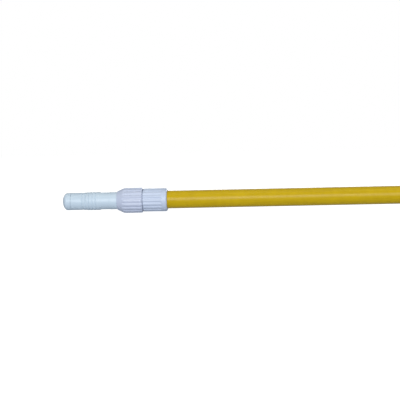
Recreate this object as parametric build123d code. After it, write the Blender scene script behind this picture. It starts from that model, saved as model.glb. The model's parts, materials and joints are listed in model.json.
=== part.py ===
from build123d import *
import os
from math import pi, radians, tan

# Telescopic extension pole for a paint roller, shown closed and locked.
# The pole lies along X: the grip is at the -X end, the threaded tip points along +X.
# The origin is on the pole's axis, on the flat shoulder that a screwed-on tool bears against.
# All sizes are millimetres. Radii are measured from the pole's axis.

# ---------------------------------------------------------------- driving sizes

# fibreglass outer tube and aluminium inner tube
OUTER_TUBE_OD = 31.75
OUTER_TUBE_WALL = 2.3
OUTER_TUBE_LENGTH = 1031.0
INNER_TUBE_OD = 25.4
INNER_TUBE_WALL = 1.25

# clearances, each on the radius or along the axis
GLUE = 0.05                 # a part glued or pressed into another
RUN = 0.15                  # a part that slides or turns inside another
LOOSE = 0.5                 # a hole that something only passes through
THREAD_PLAY = 0.3           # between the lock's two threads, all round
AXIAL_PLAY = 0.2            # endwise play of a turning part
MOUTH_PLAY = 0.3            # between the grip and the nut's mouth

# roundings shared by several parts
EDGE_BREAK = 0.35
LEAD_IN = 1.0               # on ends that are pushed into a tube

# tip: a moulded adapter that carries the threaded stud, and the band round the tube's end
FLANGE_THICKNESS = 6.0
FLANGE_LAP = 0.05           # how far the flange stands out past the band
FLANGE_ROUND = 1.5
TIP_SPIGOT_LENGTH = 34.0
TIP_RECESS_RADIUS = 10.5
TIP_RECESS_DEPTH = 2.5
STUD_SOCKET_DEPTH = 32.0
FERRULE_WALL = 0.6
FERRULE_LENGTH = 30.0
FERRULE_BEAD_HEIGHT = 0.6
FERRULE_BEAD_WIDTH = 3.0
FERRULE_BEAD_INSET = 6.0    # each bead's middle, from the end of the ferrule
TIP_PIN_RADIUS = 2.5
BUMPER_THICKNESS = 6.0
BUMPER_ROUND = 1.5
BUMPER_INSET = 1.1          # between the bumper and the outer tube's bore

# threaded stud: 3/4-5 stub Acme, the common roller-pole thread
STUD_CREST_RADIUS = 19.05 / 2
STUD_THREAD_PITCH = 5.08
STUD_THREAD_DEPTH = 2.1
STUD_CREST_WIDTH = 2.1
STUD_SHANK_RADIUS = 7.95
STUD_THREAD_START = 3.0
STUD_REACH = 30.0
PILOT_RADIUS = 7.0
PILOT_LENGTH = 5.0
PILOT_CHAMFER = 1.0
FLANK_ANGLE = 14.5

# guide on the inner tube's end, inside the outer tube
CLOSED_GAP = 2.0            # left between the guide and the bumper when the pole is closed
GUIDE_SPIGOT_LENGTH = 25.0
GUIDE_FLANGE = 3.0
JOURNAL_RADIUS = 9.0
BUSH_LENGTH = 30.0
RING_THICKNESS = 1.5
RING_DEPTH = 1.0            # how deep the retaining ring sits in its groove
RING_HEIGHT = 2.2           # how far it stands above the journal
RING_SLIT = 5.0
JOURNAL_TAIL = 4.0
PLUG_PIN_RADIUS = 2.0
STOP_GAP = 3.0              # left between the guide and the mouth bush at full reach

# lock body: the fluted collar fixed on the outer tube
BODY_LENGTH = 42.5
BODY_WALL = 4.7             # from the outer tube to the front of the fluted part
BODY_DRAFT = 0.2            # how much wider its rear is
BODY_TUBE_DEPTH = 36.5      # how far the outer tube goes into it
BODY_RIM = 8.0              # plain band behind the flutes
BODY_FRONT_ROUND = 0.8
BODY_REAR_ROUND = 3.0
BODY_FLUTE_DEPTH = 0.9
NECK_LENGTH = 22.0
NECK_WALL = 2.2             # from the outer tube's radius to the threaded neck's
NECK_RELIEF = 3.0
NECK_LIP = 2.4              # between the wedge's seat and the mouth bush
MOUTH_BUSH_LAP = 1.4        # how far the bush laps the outer tube's end face
COLLAR_PIN_RADIUS = 2.0
COLLAR_PIN_INSET = 6.0
COLLAR_PIN_RECESS = 0.3

# lock nut: the fluted collar that turns
LOCK_THREAD_PITCH = 4.0
LOCK_THREAD_DEPTH = 1.2
LOCK_CREST_WIDTH = 1.2
NUT_GAP = 1.3               # between the nut and the lock body when locked
NUT_LENGTH = 46.0
NUT_WALL = 2.9              # outside the thread
NUT_LIP = 0.9               # round the mouth that the grip goes into
NUT_NOSE_LENGTH = 12.5
NUT_NOSE_BLEND = 12.0
NUT_FACE_ROUND = 0.5
NUT_REAR_ROUND = 3.0
NUT_FLUTE_DEPTH = 1.2
NUT_WEB = 7.0
NUT_MOUTH_DEPTH = 6.0
FLUTES = 18
FLUTE_CUTTER_RADIUS = 3.0

# wedge that the nut drives on to the inner tube
TAPER_DEPTH = 10.0
TAPER_MOUTH_ROOM = 3.5      # between the inner tube and the seat, at the seat's mouth
TAPER_THROAT_ROOM = 1.75    # and at its throat
COLLET_SEAT_GAP = 0.1
COLLET_END_GAP = 0.5
COLLET_SLIT = 2.0
COLLET_SLOT = 1.5
COLLET_SLOTS = 5
COLLET_HEEL = 5.0           # solid ring left beyond the slots
WASHER_THICKNESS = 1.5
WASHER_INSET = 0.7          # how much smaller the washer is than the neck

# grip on the inner tube
GRIP_LENGTH = 101.7
GRIP_WALL = 2.7
GRIP_SWELL = 0.7            # how far the ribbed swell stands above the grip
GRIP_NECK = 0.3             # how far the neck is below it
GRIP_LAP = 3.0              # how far the grip goes into the nut's mouth when closed
GRIP_CAP_LENGTH = 15.4
GRIP_DOME_DEPTH = 8.5
GRIP_RIB_START = 36.0       # first groove, from the grip's rounded end
GRIP_RIB_PITCH = 6.1
GRIP_RIBS = 4
GRIP_GROOVE_DEPTH = 0.9
GRIP_GROOVE_WIDTH = 1.8
GRIP_SWELL_END = 66.5
GRIP_STEP = 3.0
GRIP_BAND_LENGTH = 15.2
CAP_SPIGOT_LENGTH = 14.0
CAP_WALL = 2.4

# ---------------------------------------------------------------- places along the axis

outer_bore_radius = OUTER_TUBE_OD / 2 - OUTER_TUBE_WALL
inner_bore_radius = INNER_TUBE_OD / 2 - INNER_TUBE_WALL
inner_tube_radius = INNER_TUBE_OD / 2
outer_tube_radius = OUTER_TUBE_OD / 2

tube_tip_x = -FLANGE_THICKNESS
tube_mouth_x = tube_tip_x - OUTER_TUBE_LENGTH
spigot_end_x = tube_tip_x - TIP_SPIGOT_LENGTH
tip_pin_x = tube_tip_x - FERRULE_LENGTH / 2
stud_foot_x = -STUD_SOCKET_DEPTH

journal_end_x = spigot_end_x - BUMPER_THICKNESS - CLOSED_GAP
ring_x = journal_end_x - JOURNAL_TAIL
bush_end_x = ring_x - RING_THICKNESS - AXIAL_PLAY
bush_start_x = bush_end_x - BUSH_LENGTH
guide_flange_x = bush_start_x - AXIAL_PLAY
inner_tube_end_x = guide_flange_x - GUIDE_FLANGE
plug_pin_x = inner_tube_end_x - GUIDE_SPIGOT_LENGTH / 2

body_rear_x = tube_mouth_x + BODY_TUBE_DEPTH
body_front_x = body_rear_x - BODY_LENGTH
neck_front_x = body_front_x - NECK_LENGTH
collar_pin_x = body_rear_x - COLLAR_PIN_INSET
taper_throat_x = neck_front_x + TAPER_DEPTH
mouth_bush_start_x = taper_throat_x + NECK_LIP

nut_rear_x = body_front_x - NUT_GAP
nut_front_x = nut_rear_x - NUT_LENGTH
nut_web_x = nut_front_x + NUT_MOUTH_DEPTH
nut_shoulder_x = nut_web_x + NUT_WEB
washer_x = nut_shoulder_x + WASHER_THICKNESS
collet_end_x = taper_throat_x - COLLET_END_GAP

grip_rear_x = nut_front_x + GRIP_LAP
grip_front_x = grip_rear_x - GRIP_LENGTH
cap_seam_x = grip_front_x + GRIP_CAP_LENGTH

neck_radius = outer_tube_radius + NECK_WALL
lock_crest_radius = neck_radius + LOCK_THREAD_DEPTH
lock_thread_x = neck_front_x + LOCK_CREST_WIDTH
lock_thread_length = NECK_LENGTH - LOCK_CREST_WIDTH - NECK_RELIEF
ferrule_bore_radius = outer_tube_radius + GLUE
ferrule_radius = ferrule_bore_radius + FERRULE_WALL
flange_radius = ferrule_radius + FERRULE_BEAD_HEIGHT + FLANGE_LAP
stud_root_radius = STUD_CREST_RADIUS - STUD_THREAD_DEPTH
pilot_x = STUD_REACH - PILOT_LENGTH
mouth_bush_radius = outer_bore_radius + MOUTH_BUSH_LAP
body_front_radius = outer_tube_radius + BODY_WALL
body_rear_radius = body_front_radius + BODY_DRAFT
taper_mouth_radius = inner_tube_radius + TAPER_MOUTH_ROOM
taper_throat_radius = inner_tube_radius + TAPER_THROAT_ROOM
grip_radius = inner_tube_radius + GRIP_WALL
swell_radius = grip_radius + GRIP_SWELL
washer_radius = neck_radius - WASHER_INSET
nut_mouth_radius = grip_radius + MOUTH_PLAY
nut_nose_radius = nut_mouth_radius + NUT_LIP
nut_radius = lock_crest_radius + THREAD_PLAY + NUT_WALL
stroke = bush_start_x - tube_mouth_x - STOP_GAP


# ---------------------------------------------------------------- shapes used by several parts

def turned(*outline):
    """A solid turned about the X axis from (x, radius) or (x, radius, corner rounding) points."""
    points = [Vector(corner[0], 0, corner[1]) for corner in outline]
    section = make_face(Polyline(*points, close=True))
    for corner, point in zip(outline, points):
        if len(corner) == 3:
            section = fillet(section.vertices().sort_by_distance(point)[0], corner[2])
    return revolve(section, Axis.X)


def ring(start, end, inside, outside):
    """A plain tube from x = start to x = end."""
    return turned((start, inside), (end, inside), (end, outside), (start, outside))


def rod(start, end, radius):
    """A plain round bar along the X axis."""
    return Location((start, 0, 0), (0, 90, 0)) * Cylinder(
        radius, end - start, align=(Align.CENTER, Align.CENTER, Align.MIN)
    )


def cross_pin(x, radius, bottom, top):
    """A pin that stands across the pole, along Z."""
    return Location((x, 0, bottom)) * Cylinder(
        radius, top - bottom, align=(Align.CENTER, Align.CENTER, Align.MIN)
    )


def thread_ridge(start, length, pitch, root, crest, crest_width):
    """A right-hand trapezoid ridge wound about the X axis, from x = start."""
    path = Helix(pitch, length, root, center=(start, 0, 0), direction=(1, 0, 0))
    outward = Vector(0, (path @ 0).Y, (path @ 0).Z).normalized()
    across = Plane(origin=(start, 0, 0), x_dir=(1, 0, 0), z_dir=Vector(1, 0, 0).cross(outward))
    half_crest = crest_width / 2
    half_root = half_crest + (crest - root) * tan(radians(FLANK_ANGLE))
    corners = [(-half_root, root), (half_root, root), (half_crest, crest), (-half_crest, crest)]
    section = across * make_face(Polyline(*corners, close=True))
    return sweep(section, path, is_frenet=True)


def flute_cutters(start, end, surface_radius, depth):
    """Round-bottomed cutters, one for each flute, with ball ends at x = end."""
    reach = surface_radius - depth + FLUTE_CUTTER_RADIUS
    cutter = rod(start, end, FLUTE_CUTTER_RADIUS) + Pos(end, 0, 0) * Sphere(FLUTE_CUTTER_RADIUS)
    first = Pos(0, 0, -reach) * cutter
    return [Rot(flute * 360 / FLUTES, 0, 0) * first for flute in range(FLUTES)]


# ---------------------------------------------------------------- tip

def threaded_stud():
    shank = turned(
        (stud_foot_x, 0),
        (stud_foot_x, STUD_SHANK_RADIUS, EDGE_BREAK),
        (STUD_THREAD_START, STUD_SHANK_RADIUS),
        (STUD_THREAD_START + STUD_SHANK_RADIUS - stud_root_radius, stud_root_radius),
        (pilot_x - GLUE, stud_root_radius),
        (pilot_x, PILOT_RADIUS),
        (STUD_REACH - PILOT_CHAMFER, PILOT_RADIUS),
        (STUD_REACH, PILOT_RADIUS - PILOT_CHAMFER),
        (STUD_REACH, 0),
    )
    overlap = GLUE * 2
    ridge = thread_ridge(
        STUD_THREAD_START, pilot_x - STUD_THREAD_START, STUD_THREAD_PITCH,
        stud_root_radius - overlap, STUD_CREST_RADIUS, STUD_CREST_WIDTH,
    )
    ramp = STUD_THREAD_DEPTH + overlap
    envelope = turned(
        (STUD_THREAD_START - ramp, 0),
        (STUD_THREAD_START - GLUE, stud_root_radius - overlap),
        (STUD_THREAD_START + ramp, STUD_CREST_RADIUS + GLUE),
        (pilot_x - ramp, STUD_CREST_RADIUS + GLUE),
        (pilot_x, stud_root_radius - overlap),
        (pilot_x, 0),
    )
    stud = shank + (ridge & envelope)
    return stud - cross_pin(tip_pin_x, TIP_PIN_RADIUS + GLUE, -STUD_CREST_RADIUS, STUD_CREST_RADIUS)


def tip_adapter():
    spigot_radius = outer_bore_radius - GLUE
    socket_radius = STUD_SHANK_RADIUS + GLUE
    adapter = turned(
        (spigot_end_x, 0),
        (spigot_end_x, spigot_radius, LEAD_IN),
        (tube_tip_x, spigot_radius),
        (tube_tip_x, flange_radius, EDGE_BREAK),
        (0, flange_radius, FLANGE_ROUND),
        (0, TIP_RECESS_RADIUS),
        (-TIP_RECESS_DEPTH, TIP_RECESS_RADIUS),
        (-TIP_RECESS_DEPTH, socket_radius),
        (stud_foot_x - GLUE, socket_radius),
        (stud_foot_x - GLUE, 0),
    )
    return adapter - cross_pin(tip_pin_x, TIP_PIN_RADIUS + GLUE, -OUTER_TUBE_OD, OUTER_TUBE_OD)


def tip_ferrule():
    start = tube_tip_x - FERRULE_LENGTH
    outside = [(start, ferrule_radius)]
    half = FERRULE_BEAD_WIDTH / 2
    for middle in (start + FERRULE_BEAD_INSET, tube_tip_x - FERRULE_BEAD_INSET):
        outside.append((middle - half, ferrule_radius))
        outside.append((middle, ferrule_radius + FERRULE_BEAD_HEIGHT, half))
        outside.append((middle + half, ferrule_radius))
    outside.append((tube_tip_x, ferrule_radius))
    band = turned(*outside, (tube_tip_x, ferrule_bore_radius), (start, ferrule_bore_radius))
    return band - cross_pin(tip_pin_x, TIP_PIN_RADIUS + GLUE, -OUTER_TUBE_OD, OUTER_TUBE_OD)


def tip_pin():
    return cross_pin(tip_pin_x, TIP_PIN_RADIUS, -ferrule_radius, ferrule_radius)


def stop_bumper():
    start = spigot_end_x - BUMPER_THICKNESS
    radius = outer_bore_radius - BUMPER_INSET
    return turned((start, 0), (start, radius, BUMPER_ROUND), (spigot_end_x, radius), (spigot_end_x, 0))


# ---------------------------------------------------------------- tubes

def outer_tube():
    tube = ring(tube_mouth_x, tube_tip_x, outer_bore_radius, outer_tube_radius)
    tube -= cross_pin(tip_pin_x, TIP_PIN_RADIUS + GLUE, -OUTER_TUBE_OD, OUTER_TUBE_OD)
    return tube - cross_pin(collar_pin_x, COLLAR_PIN_RADIUS + GLUE, -OUTER_TUBE_OD, OUTER_TUBE_OD)


def inner_tube():
    tube = ring(cap_seam_x, inner_tube_end_x, inner_bore_radius, inner_tube_radius)
    return tube - cross_pin(plug_pin_x, PLUG_PIN_RADIUS + GLUE, -INNER_TUBE_OD, INNER_TUBE_OD)


# ---------------------------------------------------------------- guide on the inner tube's end

def guide_plug():
    spigot_radius = inner_bore_radius - GLUE
    spigot_start_x = inner_tube_end_x - GUIDE_SPIGOT_LENGTH
    groove_radius = JOURNAL_RADIUS - RING_DEPTH
    plug = turned(
        (spigot_start_x, 0),
        (spigot_start_x, spigot_radius, LEAD_IN),
        (inner_tube_end_x, spigot_radius),
        (inner_tube_end_x, inner_tube_radius - RUN),
        (guide_flange_x, inner_tube_radius - RUN),
        (guide_flange_x, JOURNAL_RADIUS),
        (ring_x - RING_THICKNESS - GLUE, JOURNAL_RADIUS),
        (ring_x - RING_THICKNESS - GLUE, groove_radius),
        (ring_x + GLUE, groove_radius),
        (ring_x + GLUE, JOURNAL_RADIUS),
        (journal_end_x, JOURNAL_RADIUS, EDGE_BREAK),
        (journal_end_x, 0),
    )
    return plug - cross_pin(plug_pin_x, PLUG_PIN_RADIUS + GLUE, -INNER_TUBE_OD, INNER_TUBE_OD)


def plug_pin():
    length = inner_tube_radius - RUN
    return cross_pin(plug_pin_x, PLUG_PIN_RADIUS, -length, length)


def guide_bush():
    outside = outer_bore_radius - RUN
    inside = JOURNAL_RADIUS + RUN
    return turned(
        (bush_start_x, inside),
        (bush_end_x, inside),
        (bush_end_x, outside, LEAD_IN),
        (bush_start_x, outside, LEAD_IN),
    )


def retaining_ring():
    inside = JOURNAL_RADIUS - RING_DEPTH + GLUE
    band = ring(ring_x - RING_THICKNESS, ring_x, inside, JOURNAL_RADIUS + RING_HEIGHT)
    middle = (ring_x - RING_THICKNESS / 2, 0, JOURNAL_RADIUS)
    return band - Pos(*middle) * Box(RING_THICKNESS * 2, RING_SLIT, JOURNAL_RADIUS)


# ---------------------------------------------------------------- twist lock

def lock_body():
    socket_radius = outer_tube_radius + GLUE
    shell = turned(
        (body_rear_x, socket_radius, EDGE_BREAK),
        (tube_mouth_x, socket_radius),
        (tube_mouth_x, mouth_bush_radius + GLUE),
        (mouth_bush_start_x - GLUE, mouth_bush_radius + GLUE),
        (mouth_bush_start_x - GLUE, inner_tube_radius + LOOSE),
        (taper_throat_x, inner_tube_radius + LOOSE),
        (taper_throat_x, taper_throat_radius),
        (neck_front_x, taper_mouth_radius),
        (neck_front_x, neck_radius, EDGE_BREAK),
        (body_front_x, neck_radius),
        (body_front_x, body_front_radius, BODY_FRONT_ROUND),
        (body_rear_x, body_rear_radius, BODY_REAR_ROUND),
    )
    flute_end = body_rear_x - BODY_RIM - FLUTE_CUTTER_RADIUS
    shell -= flute_cutters(
        body_front_x - FLUTE_CUTTER_RADIUS, flute_end, body_front_radius, BODY_FLUTE_DEPTH
    )
    shell += thread_ridge(
        lock_thread_x, lock_thread_length, LOCK_THREAD_PITCH,
        neck_radius - GLUE * 2, lock_crest_radius, LOCK_CREST_WIDTH,
    )
    pin_hole = cross_pin(collar_pin_x, COLLAR_PIN_RADIUS + GLUE, 0, body_rear_radius * 2)
    return shell - [pin_hole, Rot(180, 0, 0) * pin_hole]


def collar_pins():
    bottom = outer_bore_radius + RUN
    top = body_front_radius - COLLAR_PIN_RECESS
    pin = cross_pin(collar_pin_x, COLLAR_PIN_RADIUS, bottom, top)
    return Compound([pin, Rot(180, 0, 0) * pin])


def mouth_bush():
    return turned(
        (mouth_bush_start_x, inner_tube_radius + RUN),
        (tube_mouth_x - GLUE, inner_tube_radius + RUN),
        (tube_mouth_x - GLUE, mouth_bush_radius),
        (mouth_bush_start_x, mouth_bush_radius, EDGE_BREAK),
    )


def compression_collet():
    taper = (taper_mouth_radius - taper_throat_radius) / TAPER_DEPTH
    nose_radius = taper_throat_radius + taper * COLLET_END_GAP - COLLET_SEAT_GAP
    heel_x = washer_x + COLLET_SEAT_GAP
    heel_radius = taper_mouth_radius - COLLET_SEAT_GAP
    collet = turned(
        (heel_x, inner_tube_radius + RUN),
        (collet_end_x, inner_tube_radius + RUN),
        (collet_end_x, nose_radius),
        (neck_front_x, heel_radius),
        (heel_x, heel_radius, EDGE_BREAK),
    )
    length = collet_end_x - heel_x
    slit = Pos(heel_x + length / 2, 0, taper_mouth_radius) * Box(
        length * 2, COLLET_SLIT, taper_mouth_radius
    )
    slot = Pos(heel_x + COLLET_HEEL + length, 0, taper_mouth_radius) * Box(
        length * 2, COLLET_SLOT, taper_mouth_radius
    )
    turn = 360 / (COLLET_SLOTS + 1)
    return collet - slit - [Rot(turn * (place + 1), 0, 0) * slot for place in range(COLLET_SLOTS)]


def slip_washer():
    return ring(nut_shoulder_x + GLUE, washer_x, inner_tube_radius + LOOSE, washer_radius)


def lock_nut():
    minor_radius = neck_radius + THREAD_PLAY
    major_radius = lock_crest_radius + THREAD_PLAY
    run_out_x = neck_front_x - LOCK_THREAD_PITCH
    cavity_radius = washer_radius + LOOSE
    nut = turned(
        (nut_rear_x, neck_radius),
        (neck_front_x, neck_radius),
        (neck_front_x, major_radius + GLUE),
        (run_out_x, major_radius + GLUE),
        (run_out_x, cavity_radius),
        (nut_shoulder_x, cavity_radius),
        (nut_shoulder_x, inner_tube_radius + LOOSE),
        (nut_web_x, inner_tube_radius + LOOSE),
        (nut_web_x, nut_mouth_radius),
        (nut_front_x, nut_mouth_radius),
        (nut_front_x, nut_nose_radius, NUT_FACE_ROUND),
        (nut_front_x + NUT_NOSE_LENGTH, nut_radius, NUT_NOSE_BLEND),
        (nut_rear_x, nut_radius, NUT_REAR_ROUND),
    )
    nut -= flute_cutters(
        nut_front_x, nut_rear_x + FLUTE_CUTTER_RADIUS, nut_radius, NUT_FLUTE_DEPTH
    )
    groove_start_x = lock_thread_x - LOCK_THREAD_PITCH
    turns = int((nut_rear_x - groove_start_x) / LOCK_THREAD_PITCH) + 2
    tap_core = rod(
        groove_start_x - LOCK_THREAD_PITCH / 2,
        groove_start_x + (turns + 1) * LOCK_THREAD_PITCH,
        minor_radius,
    )
    tap_ridge = thread_ridge(
        groove_start_x, turns * LOCK_THREAD_PITCH, LOCK_THREAD_PITCH,
        minor_radius - THREAD_PLAY, major_radius, LOCK_CREST_WIDTH + THREAD_PLAY * 2,
    )
    return nut - (tap_core + tap_ridge)


# ---------------------------------------------------------------- grip

def grip_outline():
    """The sleeve's outside, from the cap's seam to the end in the nut's mouth."""
    grooves = [GRIP_RIB_START + place * GRIP_RIB_PITCH for place in range(GRIP_RIBS + 1)]
    outline = [(cap_seam_x, grip_radius, EDGE_BREAK)]
    rounding = GRIP_GROOVE_WIDTH / 4
    for groove in grooves:
        share = (groove - grooves[0]) / (grooves[-1] - grooves[0])
        top = grip_radius + (swell_radius - grip_radius) * min(1, share * 2)
        middle = grip_front_x + groove
        outline.append((middle - GRIP_GROOVE_WIDTH / 2, top, rounding))
        outline.append((middle, top - GRIP_GROOVE_DEPTH, rounding))
        outline.append((middle + GRIP_GROOVE_WIDTH / 2, top, rounding))
    swell_end = grip_front_x + GRIP_SWELL_END
    band_start = grip_rear_x - GRIP_BAND_LENGTH
    outline.append((swell_end, swell_radius, GRIP_STEP / 2))
    outline.append((swell_end + GRIP_STEP, grip_radius - GRIP_NECK, GRIP_STEP / 2))
    outline.append((band_start - GRIP_STEP, grip_radius - GRIP_NECK, GRIP_STEP))
    outline.append((band_start, grip_radius, GRIP_STEP))
    outline.append((grip_rear_x, grip_radius, EDGE_BREAK))
    return outline


def grip_sleeve():
    bore = inner_tube_radius + GLUE
    return turned((cap_seam_x, bore), *grip_outline(), (grip_rear_x, bore))


def grip_end_cap():
    spigot_radius = inner_bore_radius - GLUE
    spigot_end = cap_seam_x + CAP_SPIGOT_LENGTH
    skirt = turned(
        (grip_front_x + GRIP_DOME_DEPTH, 0),
        (grip_front_x + GRIP_DOME_DEPTH, grip_radius),
        (cap_seam_x, grip_radius, EDGE_BREAK),
        (cap_seam_x, spigot_radius),
        (spigot_end, spigot_radius, EDGE_BREAK),
        (spigot_end, 0),
    )
    dome_arc = Plane.XZ * EllipticalCenterArc(
        (grip_front_x + GRIP_DOME_DEPTH, 0), GRIP_DOME_DEPTH, grip_radius,
        start_angle=90, arc_size=90,
    )
    base = Polyline(dome_arc @ 1, Vector(grip_front_x + GRIP_DOME_DEPTH, 0, 0), dome_arc @ 0)
    dome = revolve(make_face([dome_arc, base]), Axis.X)
    core = rod(grip_front_x + GRIP_DOME_DEPTH, spigot_end, spigot_radius - CAP_WALL)
    return skirt + dome - core


# ---------------------------------------------------------------- write the parts

PARTS = {
    "threaded_stud": threaded_stud,
    "tip_adapter": tip_adapter,
    "tip_ferrule": tip_ferrule,
    "tip_pin": tip_pin,
    "stop_bumper": stop_bumper,
    "outer_tube": outer_tube,
    "lock_body": lock_body,
    "collar_pins": collar_pins,
    "mouth_bush": mouth_bush,
    "compression_collet": compression_collet,
    "slip_washer": slip_washer,
    "lock_nut": lock_nut,
    "inner_tube": inner_tube,
    "guide_plug": guide_plug,
    "plug_pin": plug_pin,
    "guide_bush": guide_bush,
    "retaining_ring": retaining_ring,
    "grip_sleeve": grip_sleeve,
    "grip_end_cap": grip_end_cap,
}

os.makedirs("parts", exist_ok=True)
for name, make in PARTS.items():
    export_step(make(), f"parts/{name}.step")

print(f"closed length {STUD_REACH - grip_front_x:.1f} mm, stroke up to {stroke:.1f} mm")
print(f"lock nut feed {LOCK_THREAD_PITCH / (2 * pi):.6f} mm per radian")
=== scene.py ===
import json
import math

import bmesh
import bpy
from mathutils import Matrix, Vector


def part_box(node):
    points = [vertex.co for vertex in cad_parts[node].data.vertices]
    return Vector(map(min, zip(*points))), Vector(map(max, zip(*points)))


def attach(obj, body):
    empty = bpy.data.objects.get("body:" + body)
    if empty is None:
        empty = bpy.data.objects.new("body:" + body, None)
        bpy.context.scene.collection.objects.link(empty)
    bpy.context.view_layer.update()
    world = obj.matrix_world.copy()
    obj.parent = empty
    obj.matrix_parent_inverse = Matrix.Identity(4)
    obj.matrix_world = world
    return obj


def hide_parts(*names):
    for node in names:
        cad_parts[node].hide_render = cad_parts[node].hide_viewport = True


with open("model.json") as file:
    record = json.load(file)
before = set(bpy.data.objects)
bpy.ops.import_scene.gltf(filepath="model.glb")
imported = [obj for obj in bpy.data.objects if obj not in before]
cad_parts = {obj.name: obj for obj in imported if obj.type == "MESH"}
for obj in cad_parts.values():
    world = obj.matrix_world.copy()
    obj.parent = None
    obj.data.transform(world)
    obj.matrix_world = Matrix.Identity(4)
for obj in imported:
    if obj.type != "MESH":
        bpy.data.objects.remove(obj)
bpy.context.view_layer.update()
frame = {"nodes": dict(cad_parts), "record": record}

# Telescopic roller pole, lying on a pale floor along x. Outlines are in millimetres, as
# (x, radius) points from the pole's axis, and meshes are scaled to metres when finished.
MM = 0.001

# grip
DOME_DEPTH = 8.5
DOME_STEPS = 24
CAP_STEPS = 160
SLEEVE_STEPS = 192
SEAM_GAP = 0.14             # each half of the fine gap behind the cap
FIRST_GROOVE = 36.0         # from the grip's rounded end
RIB_PITCH = 6.1
GROOVES = 5
GROOVE_WIDTH = 1.9
GROOVE_DEPTH = 1.0
SWELL_END = 66.5
SWELL_STEP = 3.0
GRIP_NECK = 0.3             # how far the neck is below the rest
NECK_BLEND = 4.0            # rounding of the steps down to the neck
BAND_LENGTH = 15.2
BAND_BLEND = 5.0
EDGE_BREAK = 0.35

# lock
NUT_GAP = 1.3               # between the nut and the collar behind it
NUT_LIP = 0.9
MOUTH_PLAY = 0.3
MOUTH_DEPTH = 6.0
NUT_WEB = 7.0
NOSE_LENGTH = 12.5
NOSE_BLEND = 12.0
NUT_REAR_ROUND = 3.0
NECK_WALL = 2.2             # from the outer tube's radius to the threaded neck's
THREAD_RELIEF = 1.55        # clear of the neck's thread
THREAD_LEAD = 6.0           # how far the nut's wider bore starts before the neck
COLLAR_DRAFT = 0.2
COLLAR_RIM = 8.0            # plain band behind the flutes
COLLAR_REAR_ROUND = 3.0
SEAT_DEPTH = 10.0
SEAT_MOUTH = 3.5            # from the inner tube to the wedge's seat, at its mouth
SEAT_THROAT = 1.75          # and at its throat
FLUTES = 18
STEPS_PER_FLUTE = 18
FLUTE_CUTTER = 3.0          # radius of the round groove that separates the flutes
FLUTE_SOFTNESS = 0.55       # how widely the flutes' edges are rounded
NUT_FLUTE_DEPTH = 1.2
COLLAR_FLUTE_DEPTH = 0.9

# tubes
OUTER_WALL = 2.3
INNER_WALL = 1.25
GLUE = 0.05                 # a part glued or pressed into another
LOOSE = 0.5                 # a hole that something only passes through
TUBE_STEPS = 224
SAW_BREAK = 0.3             # rounding of the tubes' sawn ends
SMOOTH_ANGLE = 32           # degrees between faces, below which a skin is shaded smooth


# ------------------------------------------------------------------ places read from the frame

def span(node):
    """The node's lowest and highest x, in millimetres."""
    low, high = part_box(node)
    return low.x / MM, high.x / MM


def radius_of(node):
    """The node's largest distance from the pole's axis, in millimetres."""
    low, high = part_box(node)
    return max(-low.y, high.y, -low.z, high.z) / MM


nut_front, nut_rear = span("lock_nut")
neck_front, collar_rear = span("lock_body")
grip_front, cap_inner_end = span("grip_end_cap")
cap_seam, grip_rear = span("grip_sleeve")
bush_start = span("mouth_bush")[0]
tube_mouth, tube_tip = span("outer_tube")
inner_start, inner_end = span("inner_tube")

tube_radius = radius_of("outer_tube")
inner_radius = radius_of("inner_tube")
nut_radius = radius_of("lock_nut")
collar_radius = radius_of("lock_body")
bush_radius = radius_of("mouth_bush")
grip_radius = radius_of("grip_end_cap")
swell_radius = radius_of("grip_sleeve")
floor_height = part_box("lock_nut")[0].z


# ------------------------------------------------------------------ shaping

def rounded(corners, steps=6):
    """A closed outline with an arc wherever a corner has a third number, its rounding radius."""
    outline = []
    count = len(corners)
    for place, corner in enumerate(corners):
        here = Vector(corner[:2])
        if len(corner) == 2:
            outline.append(tuple(here))
            continue
        before = (Vector(corners[place - 1][:2]) - here).normalized()
        after = (Vector(corners[(place + 1) % count][:2]) - here).normalized()
        half = before.angle(after) / 2
        middle = here + (before + after).normalized() * corner[2] / math.sin(half)
        start = here + before * corner[2] / math.tan(half) - middle
        turn = start.angle_signed(here + after * corner[2] / math.tan(half) - middle)
        for step in range(steps + 1):
            arm = start.copy()
            arm.rotate(Matrix.Rotation(-turn * step / steps, 2))
            outline.append(tuple(middle + arm))
    return outline


def finer(outline, longest):
    """The same outline with extra points, so that no run is longer than this."""
    points = []
    for here, there in zip(outline, outline[1:] + outline[:1]):
        here, there = Vector(here), Vector(there)
        parts = max(1, math.ceil((there - here).length / longest))
        points += [tuple(here.lerp(there, part / parts)) for part in range(parts)]
    return points


def spun(outline, steps, loop=True):
    """A skin turned about the x axis. A loop closes on itself; otherwise both ends meet the axis."""
    skin = bmesh.new()
    corners = [skin.verts.new((x, 0, radius)) for x, radius in outline]
    for here, there in zip(corners, corners[1:]):
        skin.edges.new((here, there))
    if loop:
        skin.edges.new((corners[-1], corners[0]))
    bmesh.ops.spin(
        skin, geom=list(skin.verts) + list(skin.edges), cent=(0, 0, 0), axis=(1, 0, 0),
        angle=math.tau, steps=steps, use_merge=True,
    )
    bmesh.ops.remove_doubles(skin, verts=skin.verts, dist=0.0005)
    bmesh.ops.recalc_face_normals(skin, faces=skin.faces)
    return skin


def flute_radius(angle, surface, depth, cutter):
    """Distance from the axis to a round-bottomed groove at this angle, or None between grooves."""
    pitch = math.tau / FLUTES
    offset = (angle + math.pi / 2 + pitch / 2) % pitch - pitch / 2
    middle = surface - depth + FLUTE_CUTTER
    across = middle * math.sin(offset)
    if abs(across) >= cutter:
        return None
    return middle * math.cos(offset) - math.sqrt(cutter ** 2 - across ** 2)


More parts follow.
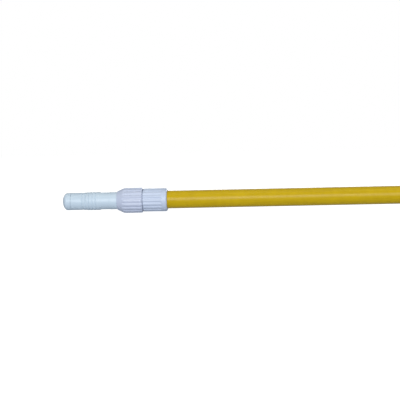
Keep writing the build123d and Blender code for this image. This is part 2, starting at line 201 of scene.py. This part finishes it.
def cut_flutes(skin, surface, depth, end):
    """Draws the skin in to a ring of soft-edged grooves that end in a ball at x = end."""
    for vertex in skin.verts:
        x, y, z = vertex.co
        radius = math.hypot(y, z)
        past = max(0.0, x - end)
        if radius < surface - depth - FLUTE_SOFTNESS or past >= FLUTE_CUTTER:
            continue
        cutter = math.sqrt(FLUTE_CUTTER ** 2 - past ** 2)
        groove = flute_radius(math.atan2(z, y), surface, depth, cutter)
        if groove is None:
            continue
        blend = max(0.0, FLUTE_SOFTNESS - abs(radius - groove)) / FLUTE_SOFTNESS
        soft = min(radius, groove) - blend ** 2 * FLUTE_SOFTNESS / 4
        vertex.co.y *= soft / radius
        vertex.co.z *= soft / radius


def make_piece(name, skin, body, material, node):
    """Turns a skin in millimetres into a piece that rides on a body and stands for a node."""
    bmesh.ops.scale(skin, vec=(MM, MM, MM), verts=skin.verts)
    mesh = bpy.data.meshes.new(name)
    skin.to_mesh(mesh)
    skin.free()
    mesh.shade_smooth()
    mesh.set_sharp_from_angle(angle=math.radians(SMOOTH_ANGLE))
    mesh.materials.append(material)
    piece = bpy.data.objects.new(name, mesh)
    bpy.context.scene.collection.objects.link(piece)
    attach(piece, body)
    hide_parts(node)


# ------------------------------------------------------------------ material tools

def linear(code):
    """An sRGB hex colour as linear red, green, blue and alpha."""
    channels = [int(code[place:place + 2], 16) / 255 for place in (1, 3, 5)]
    return (*[c / 12.92 if c <= 0.04045 else ((c + 0.055) / 1.055) ** 2.4 for c in channels], 1)


def set_inputs(owner, node, inputs):
    """Sets a node's inputs, or links them where the value is another node's output."""
    for name, value in inputs.items():
        if isinstance(value, bpy.types.NodeSocket):
            owner.node_tree.links.new(value, node.inputs[name])
        else:
            node.inputs[name].default_value = value


def add_node(owner, kind, inputs, **settings):
    """Adds one shader node to a material or world, with its settings, and returns it."""
    node = owner.node_tree.nodes.new("ShaderNode" + kind)
    for name, value in settings.items():
        setattr(node, name, value)
    set_inputs(owner, node, inputs)
    return node


def start_material(name):
    """A new material, with its main shader and its object coordinates."""
    material = bpy.data.materials.new(name)
    material.use_nodes = True
    shader = material.node_tree.nodes["Principled BSDF"]
    place = add_node(material, "TexCoord", {}).outputs["Object"]
    return material, shader, place


# ------------------------------------------------------------------ plastics and rubber

def moulded_plastic(name, dark, light, roughness, texture_depth):
    """Injection-moulded thermoplastic from a spark-eroded mould: one even colour with faint flow
    marks along the part, a fine matt texture, and a broad soft gloss that handling has varied."""
    material, shader, place = start_material(name)
    along = add_node(material, "Mapping", {"Vector": place, "Scale": (0.3, 1, 1)})
    # flow marks about 14 mm across, drawn out three times as long
    flow = add_node(material, "TexNoise", {
        "Vector": along.outputs["Vector"], "Scale": 1 / (14 * MM), "Detail": 2.0,
    })
    tint = add_node(material, "Mix", {
        0: flow.outputs["Fac"], 6: linear(dark), 7: linear(light),
    }, data_type="RGBA")
    # rubbed patches about 5 mm across
    rubbed = add_node(material, "TexNoise", {
        "Vector": place, "Scale": 1 / (5 * MM), "Detail": 5.0, "Roughness": 0.65,
    })
    gloss = add_node(material, "MapRange", {
        "Value": rubbed.outputs["Fac"], "From Min": 0.3, "From Max": 0.7,
        "To Min": roughness - 0.06, "To Max": roughness + 0.06,
    })
    # the real texture is near 0.1 mm, and is drawn at 1 mm so that it shows
    texture = add_node(material, "TexNoise", {
        "Vector": place, "Scale": 1 / (1 * MM), "Detail": 3.0, "Roughness": 0.7,
    })
    bump = add_node(material, "Bump", {
        "Height": texture.outputs["Fac"], "Strength": 0.35, "Distance": texture_depth * MM,
    })
    set_inputs(material, shader, {
        "Base Color": tint.outputs[2], "Roughness": gloss.outputs["Result"],
        "Normal": bump.outputs["Normal"], "IOR": 1.5,
    })
    return material


def machined_acetal():
    """Natural acetal bar, turned on a lathe: waxy ivory white with fine rings round the axis."""
    material, shader, place = start_material("machined_acetal")
    cloud = add_node(material, "TexNoise", {"Vector": place, "Scale": 1 / (8 * MM), "Detail": 2.0})
    tint = add_node(material, "Mix", {
        0: cloud.outputs["Fac"], 6: linear("#DCD9CC"), 7: linear("#E8E5DB"),
    }, data_type="RGBA")
    # a feed of 0.2 mm a turn, drawn at 0.5 mm so that it shows
    rings = add_node(material, "TexWave", {
        "Vector": place, "Scale": math.tau / 20 / (0.5 * MM), "Distortion": 0.4,
    }, bands_direction="X")
    bump = add_node(material, "Bump", {
        "Height": rings.outputs["Fac"], "Strength": 0.3, "Distance": 0.01 * MM,
    })
    set_inputs(material, shader, {
        "Base Color": tint.outputs[2], "Normal": bump.outputs["Normal"],
        "Roughness": 0.35, "IOR": 1.48,
    })
    return material


def moulded_rubber():
    """Moulded nitrile rubber: black and matt, with a dusty bloom in soft patches."""
    material, shader, place = start_material("moulded_nitrile_rubber")
    bloom = add_node(material, "TexNoise", {
        "Vector": place, "Scale": 1 / (4 * MM), "Detail": 4.0, "Roughness": 0.6,
    })
    tint = add_node(material, "Mix", {
        0: bloom.outputs["Fac"], 6: linear("#101011"), 7: linear("#27272A"),
    }, data_type="RGBA")
    grit = add_node(material, "TexNoise", {"Vector": place, "Scale": 1 / (0.5 * MM), "Detail": 2.0})
    bump = add_node(material, "Bump", {
        "Height": grit.outputs["Fac"], "Strength": 0.3, "Distance": 0.05 * MM,
    })
    set_inputs(material, shader, {
        "Base Color": tint.outputs[2], "Normal": bump.outputs["Normal"],
        "Roughness": 0.75, "IOR": 1.52,
    })
    return material


def pultruded_fibreglass():
    """Glass fibre in yellow polyester, pulled through a heated die: fine lengthwise strands under
    the colour, a slightly cloudy veil, and a smooth resin skin that waves a little along the tube."""
    material, shader, place = start_material("pultruded_fibreglass")
    strand_place = add_node(material, "Mapping", {"Vector": place, "Scale": (0.02, 1, 1)})
    # rovings about 1 mm across, that run along the whole tube
    strands = add_node(material, "TexNoise", {
        "Vector": strand_place.outputs["Vector"], "Scale": 1 / (1 * MM), "Detail": 4.0,
        "Roughness": 0.6,
    })
    # blotches of the surface veil, about 12 mm across
    veil = add_node(material, "TexNoise", {
        "Vector": place, "Scale": 1 / (12 * MM), "Detail": 4.0, "Roughness": 0.6,
    })
    blend = add_node(material, "Mix", {
        0: 0.35, 2: strands.outputs["Fac"], 3: veil.outputs["Fac"],
    })
    share = add_node(material, "MapRange", {
        "Value": blend.outputs[0], "From Min": 0.35, "From Max": 0.65,
    })
    tint = add_node(material, "Mix", {
        0: share.outputs["Result"], 6: linear("#BC9C00"), 7: linear("#CEAE04"),
    }, data_type="RGBA")
    wave_place = add_node(material, "Mapping", {"Vector": place, "Scale": (0.15, 1, 1)})
    waves = add_node(material, "TexNoise", {
        "Vector": wave_place.outputs["Vector"], "Scale": 1 / (5 * MM), "Detail": 3.0,
    })
    gloss = add_node(material, "MapRange", {
        "Value": waves.outputs["Fac"], "From Min": 0.3, "From Max": 0.7,
        "To Min": 0.27, "To Max": 0.37,
    })
    bump = add_node(material, "Bump", {
        "Height": strands.outputs["Fac"], "Strength": 0.2, "Distance": 0.02 * MM,
    })
    set_inputs(material, shader, {
        "Base Color": tint.outputs[2], "Roughness": gloss.outputs["Result"],
        "Normal": bump.outputs["Normal"], "IOR": 1.46, "Specular IOR Level": 0.3,
    })
    return material


# ------------------------------------------------------------------ metals

def satin_aluminium(name, dark, light, roughness, stretch):
    """Aluminium that a tool has left fine satin lines on, drawn, turned or rolled, and then
    anodised: soft grey with a slight haze. A small first number in stretch draws the lines out
    along x, and small second and third numbers draw them out round it."""
    material, shader, place = start_material(name)
    line_place = add_node(material, "Mapping", {"Vector": place, "Scale": stretch})
    # the real lines are near 0.05 mm, and are drawn at 0.4 mm so that they show
    lines = add_node(material, "TexNoise", {
        "Vector": line_place.outputs["Vector"], "Scale": 1 / (0.4 * MM), "Detail": 3.0,
        "Roughness": 0.6,
    })
    haze = add_node(material, "TexNoise", {
        "Vector": place, "Scale": 1 / (15 * MM), "Detail": 4.0, "Roughness": 0.55,
    })
    tint = add_node(material, "Mix", {
        0: lines.outputs["Fac"], 6: linear(dark), 7: linear(light),
    }, data_type="RGBA")
    gloss = add_node(material, "MapRange", {
        "Value": haze.outputs["Fac"], "From Min": 0.3, "From Max": 0.7,
        "To Min": roughness - 0.05, "To Max": roughness + 0.08,
    })
    bump = add_node(material, "Bump", {
        "Height": lines.outputs["Fac"], "Strength": 0.2, "Distance": 0.01 * MM,
    })
    set_inputs(material, shader, {
        "Base Color": tint.outputs[2], "Roughness": gloss.outputs["Result"],
        "Normal": bump.outputs["Normal"], "Metallic": 1.0,
    })
    return material


def zinc_plated_steel():
    """Steel with bright zinc plating: bluish grey, mottled in small patches of a duller bloom."""
    material, shader, place = start_material("zinc_plated_steel")
    bloom = add_node(material, "TexNoise", {
        "Vector": place, "Scale": 1 / (1.5 * MM), "Detail": 5.0, "Roughness": 0.6,
    })
    tint = add_node(material, "Mix", {
        0: bloom.outputs["Fac"], 6: linear("#9FA3AA"), 7: linear("#C9CDD3"),
    }, data_type="RGBA")
    gloss = add_node(material, "MapRange", {
        "Value": bloom.outputs["Fac"], "From Min": 0.3, "From Max": 0.7,
        "To Min": 0.25, "To Max": 0.45,
    })
    set_inputs(material, shader, {
        "Base Color": tint.outputs[2], "Roughness": gloss.outputs["Result"], "Metallic": 1.0,
    })
    return material


def stamped_brass():
    """Rolled brass strip, stamped and a little tarnished: warm yellow with brownish clouds."""
    material, shader, place = start_material("stamped_brass")
    tarnish = add_node(material, "TexNoise", {
        "Vector": place, "Scale": 1 / (5 * MM), "Detail": 5.0, "Roughness": 0.6,
    })
    tint = add_node(material, "Mix", {
        0: tarnish.outputs["Fac"], 6: linear("#B08B45"), 7: linear("#DDBD74"),
    }, data_type="RGBA")
    gloss = add_node(material, "MapRange", {
        "Value": tarnish.outputs["Fac"], "From Min": 0.3, "From Max": 0.7,
        "To Min": 0.45, "To Max": 0.28,
    })
    set_inputs(material, shader, {
        "Base Color": tint.outputs[2], "Roughness": gloss.outputs["Result"], "Metallic": 1.0,
    })
    return material


def opal_acrylic_floor():
    """Opal acrylic light table: matt white, and lit from below so that it hardly takes a shadow."""
    material, shader, place = start_material("opal_acrylic_floor")
    haze = add_node(material, "TexNoise", {"Vector": place, "Scale": 1 / (3 * MM), "Detail": 2.0})
    bump = add_node(material, "Bump", {
        "Height": haze.outputs["Fac"], "Strength": 0.05, "Distance": 0.1 * MM,
    })
    set_inputs(material, shader, {
        "Base Color": linear("#A0A0A0"), "Roughness": 0.9, "Normal": bump.outputs["Normal"],
        "Emission Color": (1, 1, 1, 1), "Emission Strength": 0.9,
    })
    return material


# ------------------------------------------------------------------ pieces of the grip

def grip_cap(material):
    """Rounded plug with a spigot in the tube."""
    spigot = inner_radius - INNER_WALL - GLUE
    face = cap_seam - SEAM_GAP
    quarter = [math.pi / 2 * step / DOME_STEPS for step in range(DOME_STEPS + 1)]
    dome = [
        (grip_front + DOME_DEPTH * (1 - math.cos(turn)), grip_radius * math.sin(turn))
        for turn in quarter
    ]
    inside = [(cap_inner_end, spigot), (cap_inner_end, 0)]
    edge = [(face - EDGE_BREAK, grip_radius), (face, grip_radius - EDGE_BREAK), (face, spigot)]
    skin = spun(dome + edge + inside, CAP_STEPS, loop=False)
    make_piece("grip_cap", skin, "inner_section", material, "grip_end_cap")


def rib_grooves():
    """Five soft grooves, which leave four ribs between them on the rising swell."""
    corners = []
    for groove in range(GROOVES):
        rise = min(1.0, 2 * groove / (GROOVES - 1))
        top = grip_radius + (swell_radius - grip_radius) * rise
        middle = grip_front + FIRST_GROOVE + groove * RIB_PITCH
        corners += [
            (middle - GROOVE_WIDTH / 2, top, 0.7),
            (middle, top - GROOVE_DEPTH, 0.45),
            (middle + GROOVE_WIDTH / 2, top, 0.7),
        ]
    return corners


def grip_sleeve(material):
    """Sleeve with ribs on a swell, a slim neck, and a shallow band where it enters the nut."""
    bore = inner_radius + GLUE
    face = cap_seam + SEAM_GAP
    neck = grip_radius - GRIP_NECK
    swell_end = grip_front + SWELL_END
    band = grip_rear - BAND_LENGTH
    corners = [
        (face, bore),
        (face, grip_radius, EDGE_BREAK),
        *rib_grooves(),
        (swell_end, swell_radius, NECK_BLEND),
        (swell_end + SWELL_STEP, neck, NECK_BLEND),
        (band - SWELL_STEP, neck, BAND_BLEND),
        (band, grip_radius, BAND_BLEND),
        (grip_rear, grip_radius, 0.5),
        (grip_rear, bore),
    ]
    skin = spun(finer(rounded(corners, 5), 4.0), SLEEVE_STEPS)
    make_piece(
        "grip_sleeve_shell", skin, "inner_section", material, "grip_sleeve",
    )


# ------------------------------------------------------------------ pieces of the lock

def lock_nut(material):
    """Fluted nut with a rounded conical nose and a mouth that takes the end of the grip."""
    mouth = grip_radius + MOUTH_PLAY
    passage = inner_radius + LOOSE
    cavity = tube_radius + NECK_WALL
    thread = cavity + THREAD_RELIEF
    web = nut_front + MOUTH_DEPTH
    shoulder = web + NUT_WEB
    thread_start = neck_front - THREAD_LEAD
    corners = [
        (nut_front, mouth, 0.2),
        (nut_front, mouth + NUT_LIP, 0.5),
        (nut_front + NOSE_LENGTH, nut_radius, NOSE_BLEND),
        (nut_rear, nut_radius, NUT_REAR_ROUND),
        (nut_rear, thread, 0.4),
        (thread_start, thread),
        (thread_start, cavity),
        (shoulder, cavity),
        (shoulder, passage),
        (web, passage, 0.4),
        (web, mouth),
    ]
    skin = spun(finer(rounded(corners, 8), 1.0), FLUTES * STEPS_PER_FLUTE)
    cut_flutes(skin, nut_radius, NUT_FLUTE_DEPTH, nut_rear + FLUTE_CUTTER)
    make_piece("lock_nut_shell", skin, "nut", material, "lock_nut")


def lock_collar(material):
    """Fixed collar: soft flutes, a plain rim rounded down to the tube, and the neck in the nut."""
    front = nut_rear + NUT_GAP
    front_radius = collar_radius - COLLAR_DRAFT
    neck = tube_radius + NECK_WALL
    socket = tube_radius + GLUE
    passage = inner_radius + LOOSE
    bush_socket = bush_radius + GLUE
    corners = [
        (neck_front, inner_radius + SEAT_MOUTH),
        (neck_front, neck, EDGE_BREAK),
        (front, neck, 0.3),
        (front, front_radius, 0.8),
        (collar_rear, collar_radius, COLLAR_REAR_ROUND),
        (collar_rear, socket, EDGE_BREAK),
        (tube_mouth, socket),
        (tube_mouth, bush_socket),
        (bush_start - GLUE, bush_socket),
        (bush_start - GLUE, passage),
        (neck_front + SEAT_DEPTH, passage),
        (neck_front + SEAT_DEPTH, inner_radius + SEAT_THROAT),
    ]
    skin = spun(finer(rounded(corners, 8), 1.0), FLUTES * STEPS_PER_FLUTE)
    flute_end = collar_rear - COLLAR_RIM - FLUTE_CUTTER
    cut_flutes(skin, front_radius, COLLAR_FLUTE_DEPTH, flute_end)
    make_piece("lock_collar", skin, "outer_section", material, "lock_body")


# ------------------------------------------------------------------ tubes

def make_tube(name, start, end, radius, wall, node, body, material):
    """A long round tube whose sawn ends are lightly broken."""
    corners = [
        (start, radius, SAW_BREAK),
        (end, radius, SAW_BREAK),
        (end, radius - wall),
        (start, radius - wall),
    ]
    skin = spun(finer(rounded(corners, 3), 50.0), TUBE_STEPS)
    make_piece(name, skin, body, material, node)


# ------------------------------------------------------------------ camera, floor and lights

def make_camera():
    """Looks almost square at the grip, the lock and half of the outer tube, from a little above."""
    view_width = 0.7137
    distance = 1.7
    yaw = math.radians(3.5)
    lift = math.radians(3.0)
    roll = math.radians(-1.375)
    target = Vector((-0.9424, 0, -0.002))
    back = Vector((
        math.sin(yaw) * math.cos(lift),
        -math.cos(yaw) * math.cos(lift),
        math.sin(lift),
    ))
    data = bpy.data.cameras.new("camera")
    data.angle = 2 * math.atan(view_width / 2 / distance)
    data.clip_end = 50
    camera = bpy.data.objects.new("camera", data)
    bpy.context.scene.collection.objects.link(camera)
    aim = back.to_track_quat("Z", "Y").to_matrix().to_4x4() @ Matrix.Rotation(roll, 4, "Z")
    camera.matrix_world = Matrix.Translation(target) @ aim @ Matrix.Translation((0, 0, distance))
    bpy.context.scene.camera = camera


def make_lamp(name, spot, target, size, power, colour=(1, 1, 1)):
    """A soft rectangular lamp at spot that shines at target."""
    data = bpy.data.lights.new(name, "AREA")
    data.color = colour
    data.shape = "RECTANGLE"
    data.size, data.size_y = size
    data.energy = power
    lamp = bpy.data.objects.new(name, data)
    bpy.context.scene.collection.objects.link(lamp)
    aim = (Vector(target) - Vector(spot)).to_track_quat("-Z", "Y").to_matrix().to_4x4()
    lamp.matrix_world = Matrix.Translation(spot) @ aim


def make_room():
    """Weak, slightly blue light from all round, in a room that itself shows as plain white."""
    world = bpy.data.worlds.new("room")
    world.use_nodes = True
    light = world.node_tree.nodes["Background"]
    set_inputs(world, light, {"Color": (0.93, 1.0, 1.1, 1), "Strength": 0.35})
    white = add_node(world, "Background", {"Color": (1, 1, 1, 1)})
    ray = add_node(world, "LightPath", {})
    seen = add_node(world, "MixShader", {
        "Fac": ray.outputs["Is Camera Ray"],
        1: light.outputs["Background"],
        2: white.outputs["Background"],
    })
    set_inputs(world, world.node_tree.nodes["World Output"], {"Surface": seen.outputs["Shader"]})
    bpy.context.scene.world = world


def make_stage():
    """A wide pale floor under the pole, soft lamps before, above and behind it, and two low
    strips whose reflections run along its axis."""
    sheet = bmesh.new()
    bmesh.ops.create_grid(sheet, x_segments=1, y_segments=1, size=30)
    bmesh.ops.translate(sheet, verts=sheet.verts, vec=(0, 0, floor_height))
    mesh = bpy.data.meshes.new("floor")
    sheet.to_mesh(mesh)
    sheet.free()
    floor = bpy.data.objects.new("floor", mesh)
    bpy.context.scene.collection.objects.link(floor)
    mesh.materials.append(opal_acrylic_floor())
    floor.visible_diffuse = False
    floor.visible_glossy = False
    middle = (-0.9, 0, 0)
    make_lamp("key_lamp", (-0.85, -2.2, 0.6), middle, (2.4, 0.6), 30)
    make_lamp("top_lamp", (-0.85, -0.6, 2.0), middle, (2.4, 1.0), 7.7, (1, 0.9, 0.62))
    make_lamp("back_lamp", (-0.5, 2.2, 0.25), middle, (2.4, 0.4), 14)
    make_lamp("left_strip", (-1.19, -2.0, 0.015), (-1.19, 0, 0), (0.52, 0.06), 5.0)
    make_lamp("right_strip", (-0.32, -2.0, 0.015), (-0.32, 0, 0), (0.2, 0.06), 1.3)
    bpy.context.scene.view_settings.view_transform = "Standard"


# ------------------------------------------------------------------ making it all

make_camera()
make_room()
make_stage()

grip_plastic = moulded_plastic("moulded_polypropylene", "#BFD0DF", "#CDDEEC", 0.36, 0.05)
nut_plastic = moulded_plastic("moulded_abs_nut", "#B9C3DA", "#C9D1E5", 0.38, 0.07)
collar_plastic = moulded_plastic("moulded_abs_collar", "#BAC7DE", "#CAD5E9", 0.38, 0.07)

grip_cap(grip_plastic)
grip_sleeve(grip_plastic)
lock_nut(nut_plastic)
lock_collar(collar_plastic)
make_tube(
    "fibreglass_tube", tube_mouth, tube_tip, tube_radius, OUTER_WALL, "outer_tube",
    "outer_section", pultruded_fibreglass(),
)
make_tube(
    "aluminium_tube", inner_start, inner_end, inner_radius, INNER_WALL, "inner_tube",
    "inner_section",
    satin_aluminium("drawn_anodised_aluminium", "#C4C6C9", "#DCDEE0", 0.32, (0.01, 1, 1)),
)

# materials for the pieces that keep the CAD's own shape, by their slot
LOOKS = {
    "collar_plastic": collar_plastic,
    "tip_plastic": moulded_plastic("moulded_nylon_tip", "#BCC1CB", "#C8CDD6", 0.4, 0.03),
    "guide_plastic": moulded_plastic("moulded_nylon_guide", "#121214", "#1C1C1F", 0.42, 0.03),
    "bearing_plastic": machined_acetal(),
    "bumper_rubber": moulded_rubber(),
    "stud_metal": satin_aluminium("turned_aluminium", "#B4B6B9", "#D2D4D6", 0.32, (1, 0.05, 0.05)),
    "ferrule_metal": satin_aluminium("rolled_aluminium", "#BDBFC2", "#DADCDE", 0.28, (1, 0.05, 0.05)),
    "pin_steel": zinc_plated_steel(),
    "washer_brass": stamped_brass(),
}
for part in frame["record"]["subparts"]:
    look = LOOKS.get(part["material_slot"])
    if look:
        slots = frame["nodes"][part["node"]].data.materials
        slots.clear()
        slots.append(look)
